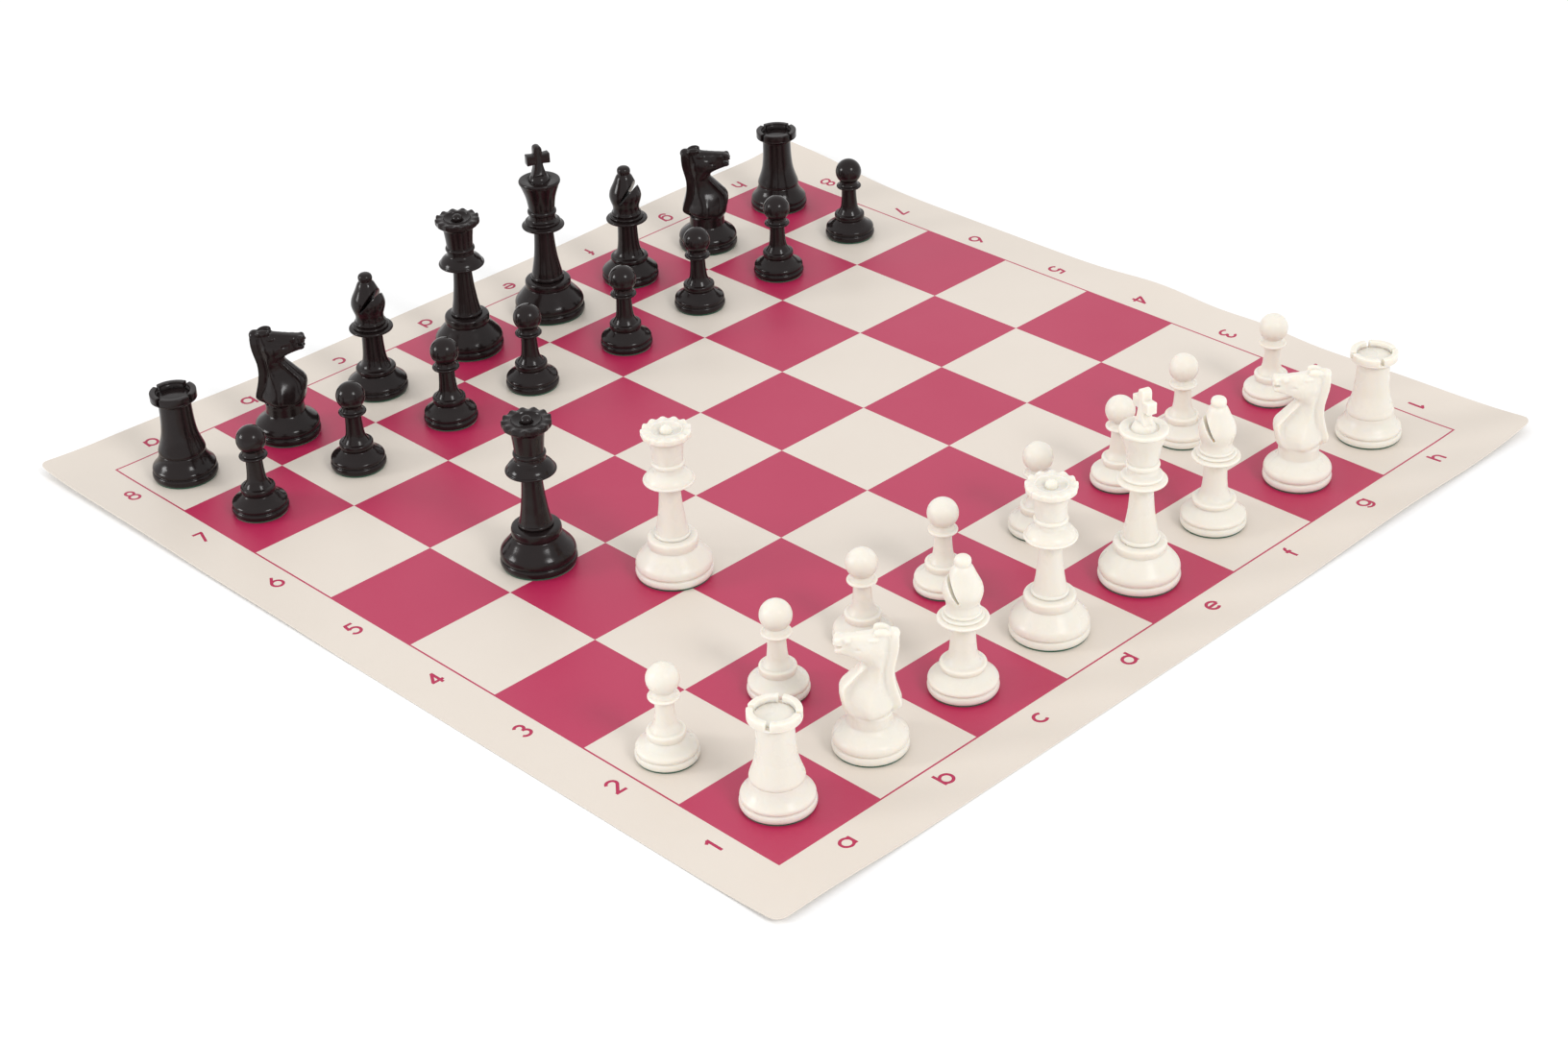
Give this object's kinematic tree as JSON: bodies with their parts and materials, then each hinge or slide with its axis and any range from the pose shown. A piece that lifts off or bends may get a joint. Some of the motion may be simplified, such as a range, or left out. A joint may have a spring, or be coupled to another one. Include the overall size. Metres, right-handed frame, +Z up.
{
  "type": "roll-up tournament chess set",
  "caption": "Roll-up vinyl chess mat with weighted plastic Staunton chessmen set out for the start of a game and a spare queen for each side.",
  "frame": {"origin": "centre of the mat's underside", "axes": "+Z up out of the board, +X from the a-file to the h-file, +Y from White's side to Black's side"},
  "size_m": [0.51, 0.51, 0.0959],
  "materials": {
    "vinyl": "satin cream vinyl with printed magenta squares and plain coordinates",
    "black_plastic": "semi-gloss moulded black",
    "ivory_plastic": "gloss moulded ivory white",
    "felt": "green felt",
    "weight": "plain steel slug"
  },
  "bodies": {
    "mat": {"mat": "vinyl"},
    "black_rook_a": {"black_rook_a": "black_plastic", "black_rook_a_felt": "felt"},
    "black_knight_b": {"black_knight_b": "black_plastic", "black_knight_b_felt": "felt"},
    "black_bishop_c": {"black_bishop_c": "black_plastic", "black_bishop_c_felt": "felt"},
    "black_queen": {"black_queen": "black_plastic", "black_queen_felt": "felt", "black_queen_weight": "weight"},
    "black_king": {"black_king": "black_plastic", "black_king_felt": "felt", "black_king_weight": "weight"},
    "black_bishop_f": {"black_bishop_f": "black_plastic", "black_bishop_f_felt": "felt"},
    "black_knight_g": {"black_knight_g": "black_plastic", "black_knight_g_felt": "felt"},
    "black_rook_h": {"black_rook_h": "black_plastic", "black_rook_h_felt": "felt"},
    "black_queen_spare": {"black_queen_spare": "black_plastic", "black_queen_spare_felt": "felt", "black_queen_spare_weight": "weight"},
    "black_pawn_a": {"black_pawn_a": "black_plastic"},
    "black_pawn_b": {"black_pawn_b": "black_plastic"},
    "black_pawn_c": {"black_pawn_c": "black_plastic"},
    "black_pawn_d": {"black_pawn_d": "black_plastic"},
    "black_pawn_e": {"black_pawn_e": "black_plastic"},
    "black_pawn_f": {"black_pawn_f": "black_plastic"},
    "black_pawn_g": {"black_pawn_g": "black_plastic"},
    "black_pawn_h": {"black_pawn_h": "black_plastic"},
    "white_rook_a": {"white_rook_a": "ivory_plastic", "white_rook_a_felt": "felt"},
    "white_knight_b": {"white_knight_b": "ivory_plastic", "white_knight_b_felt": "felt"},
    "white_bishop_c": {"white_bishop_c": "ivory_plastic", "white_bishop_c_felt": "felt"},
    "white_queen": {"white_queen": "ivory_plastic", "white_queen_felt": "felt", "white_queen_weight": "weight"},
    "white_king": {"white_king": "ivory_plastic", "white_king_felt": "felt", "white_king_weight": "weight"},
    "white_bishop_f": {"white_bishop_f": "ivory_plastic", "white_bishop_f_felt": "felt"},
    "white_knight_g": {"white_knight_g": "ivory_plastic", "white_knight_g_felt": "felt"},
    "white_rook_h": {"white_rook_h": "ivory_plastic", "white_rook_h_felt": "felt"},
    "white_queen_spare": {"white_queen_spare": "ivory_plastic", "white_queen_spare_felt": "felt", "white_queen_spare_weight": "weight"},
    "white_pawn_a": {"white_pawn_a": "ivory_plastic"},
    "white_pawn_b": {"white_pawn_b": "ivory_plastic"},
    "white_pawn_c": {"white_pawn_c": "ivory_plastic"},
    "white_pawn_d": {"white_pawn_d": "ivory_plastic"},
    "white_pawn_e": {"white_pawn_e": "ivory_plastic"},
    "white_pawn_f": {"white_pawn_f": "ivory_plastic"},
    "white_pawn_g": {"white_pawn_g": "ivory_plastic"},
    "white_pawn_h": {"white_pawn_h": "ivory_plastic"}
  },
  "joints": [
    {"name": "black_rook_a_lift", "type": "slide", "parent": "mat", "child": "black_rook_a", "axis": [0, 0, 1], "range_m": [0, 0.11]},
    {"name": "black_knight_b_lift", "type": "slide", "parent": "mat", "child": "black_knight_b", "axis": [0, 0, 1], "range_m": [0, 0.11]},
    {"name": "black_bishop_c_lift", "type": "slide", "parent": "mat", "child": "black_bishop_c", "axis": [0, 0, 1], "range_m": [0, 0.11]},
    {"name": "black_queen_lift", "type": "slide", "parent": "mat", "child": "black_queen", "axis": [0, 0, 1], "range_m": [0, 0.11]},
    {"name": "black_king_lift", "type": "slide", "parent": "mat", "child": "black_king", "axis": [0, 0, 1], "range_m": [0, 0.11]},
    {"name": "black_bishop_f_lift", "type": "slide", "parent": "mat", "child": "black_bishop_f", "axis": [0, 0, 1], "range_m": [0, 0.11]},
    {"name": "black_knight_g_lift", "type": "slide", "parent": "mat", "child": "black_knight_g", "axis": [0, 0, 1], "range_m": [0, 0.11]},
    {"name": "black_rook_h_lift", "type": "slide", "parent": "mat", "child": "black_rook_h", "axis": [0, 0, 1], "range_m": [0, 0.11]},
    {"name": "black_queen_spare_lift", "type": "slide", "parent": "mat", "child": "black_queen_spare", "axis": [0, 0, 1], "range_m": [0, 0.11]},
    {"name": "black_pawn_a_lift", "type": "slide", "parent": "mat", "child": "black_pawn_a", "axis": [0, 0, 1], "range_m": [0, 0.11]},
    {"name": "black_pawn_b_lift", "type": "slide", "parent": "mat", "child": "black_pawn_b", "axis": [0, 0, 1], "range_m": [0, 0.11]},
    {"name": "black_pawn_c_lift", "type": "slide", "parent": "mat", "child": "black_pawn_c", "axis": [0, 0, 1], "range_m": [0, 0.11]},
    {"name": "black_pawn_d_lift", "type": "slide", "parent": "mat", "child": "black_pawn_d", "axis": [0, 0, 1], "range_m": [0, 0.11]},
    {"name": "black_pawn_e_lift", "type": "slide", "parent": "mat", "child": "black_pawn_e", "axis": [0, 0, 1], "range_m": [0, 0.11]},
    {"name": "black_pawn_f_lift", "type": "slide", "parent": "mat", "child": "black_pawn_f", "axis": [0, 0, 1], "range_m": [0, 0.11]},
    {"name": "black_pawn_g_lift", "type": "slide", "parent": "mat", "child": "black_pawn_g", "axis": [0, 0, 1], "range_m": [0, 0.11]},
    {"name": "black_pawn_h_lift", "type": "slide", "parent": "mat", "child": "black_pawn_h", "axis": [0, 0, 1], "range_m": [0, 0.11]},
    {"name": "white_rook_a_lift", "type": "slide", "parent": "mat", "child": "white_rook_a", "axis": [0, 0, 1], "range_m": [0, 0.11]},
    {"name": "white_knight_b_lift", "type": "slide", "parent": "mat", "child": "white_knight_b", "axis": [0, 0, 1], "range_m": [0, 0.11]},
    {"name": "white_bishop_c_lift", "type": "slide", "parent": "mat", "child": "white_bishop_c", "axis": [0, 0, 1], "range_m": [0, 0.11]},
    {"name": "white_queen_lift", "type": "slide", "parent": "mat", "child": "white_queen", "axis": [0, 0, 1], "range_m": [0, 0.11]},
    {"name": "white_king_lift", "type": "slide", "parent": "mat", "child": "white_king", "axis": [0, 0, 1], "range_m": [0, 0.11]},
    {"name": "white_bishop_f_lift", "type": "slide", "parent": "mat", "child": "white_bishop_f", "axis": [0, 0, 1], "range_m": [0, 0.11]},
    {"name": "white_knight_g_lift", "type": "slide", "parent": "mat", "child": "white_knight_g", "axis": [0, 0, 1], "range_m": [0, 0.11]},
    {"name": "white_rook_h_lift", "type": "slide", "parent": "mat", "child": "white_rook_h", "axis": [0, 0, 1], "range_m": [0, 0.11]},
    {"name": "white_queen_spare_lift", "type": "slide", "parent": "mat", "child": "white_queen_spare", "axis": [0, 0, 1], "range_m": [0, 0.11]},
    {"name": "white_pawn_a_lift", "type": "slide", "parent": "mat", "child": "white_pawn_a", "axis": [0, 0, 1], "range_m": [0, 0.11]},
    {"name": "white_pawn_b_lift", "type": "slide", "parent": "mat", "child": "white_pawn_b", "axis": [0, 0, 1], "range_m": [0, 0.11]},
    {"name": "white_pawn_c_lift", "type": "slide", "parent": "mat", "child": "white_pawn_c", "axis": [0, 0, 1], "range_m": [0, 0.11]},
    {"name": "white_pawn_d_lift", "type": "slide", "parent": "mat", "child": "white_pawn_d", "axis": [0, 0, 1], "range_m": [0, 0.11]},
    {"name": "white_pawn_e_lift", "type": "slide", "parent": "mat", "child": "white_pawn_e", "axis": [0, 0, 1], "range_m": [0, 0.11]},
    {"name": "white_pawn_f_lift", "type": "slide", "parent": "mat", "child": "white_pawn_f", "axis": [0, 0, 1], "range_m": [0, 0.11]},
    {"name": "white_pawn_g_lift", "type": "slide", "parent": "mat", "child": "white_pawn_g", "axis": [0, 0, 1], "range_m": [0, 0.11]},
    {"name": "white_pawn_h_lift", "type": "slide", "parent": "mat", "child": "white_pawn_h", "axis": [0, 0, 1], "range_m": [0, 0.11]}
  ]
}
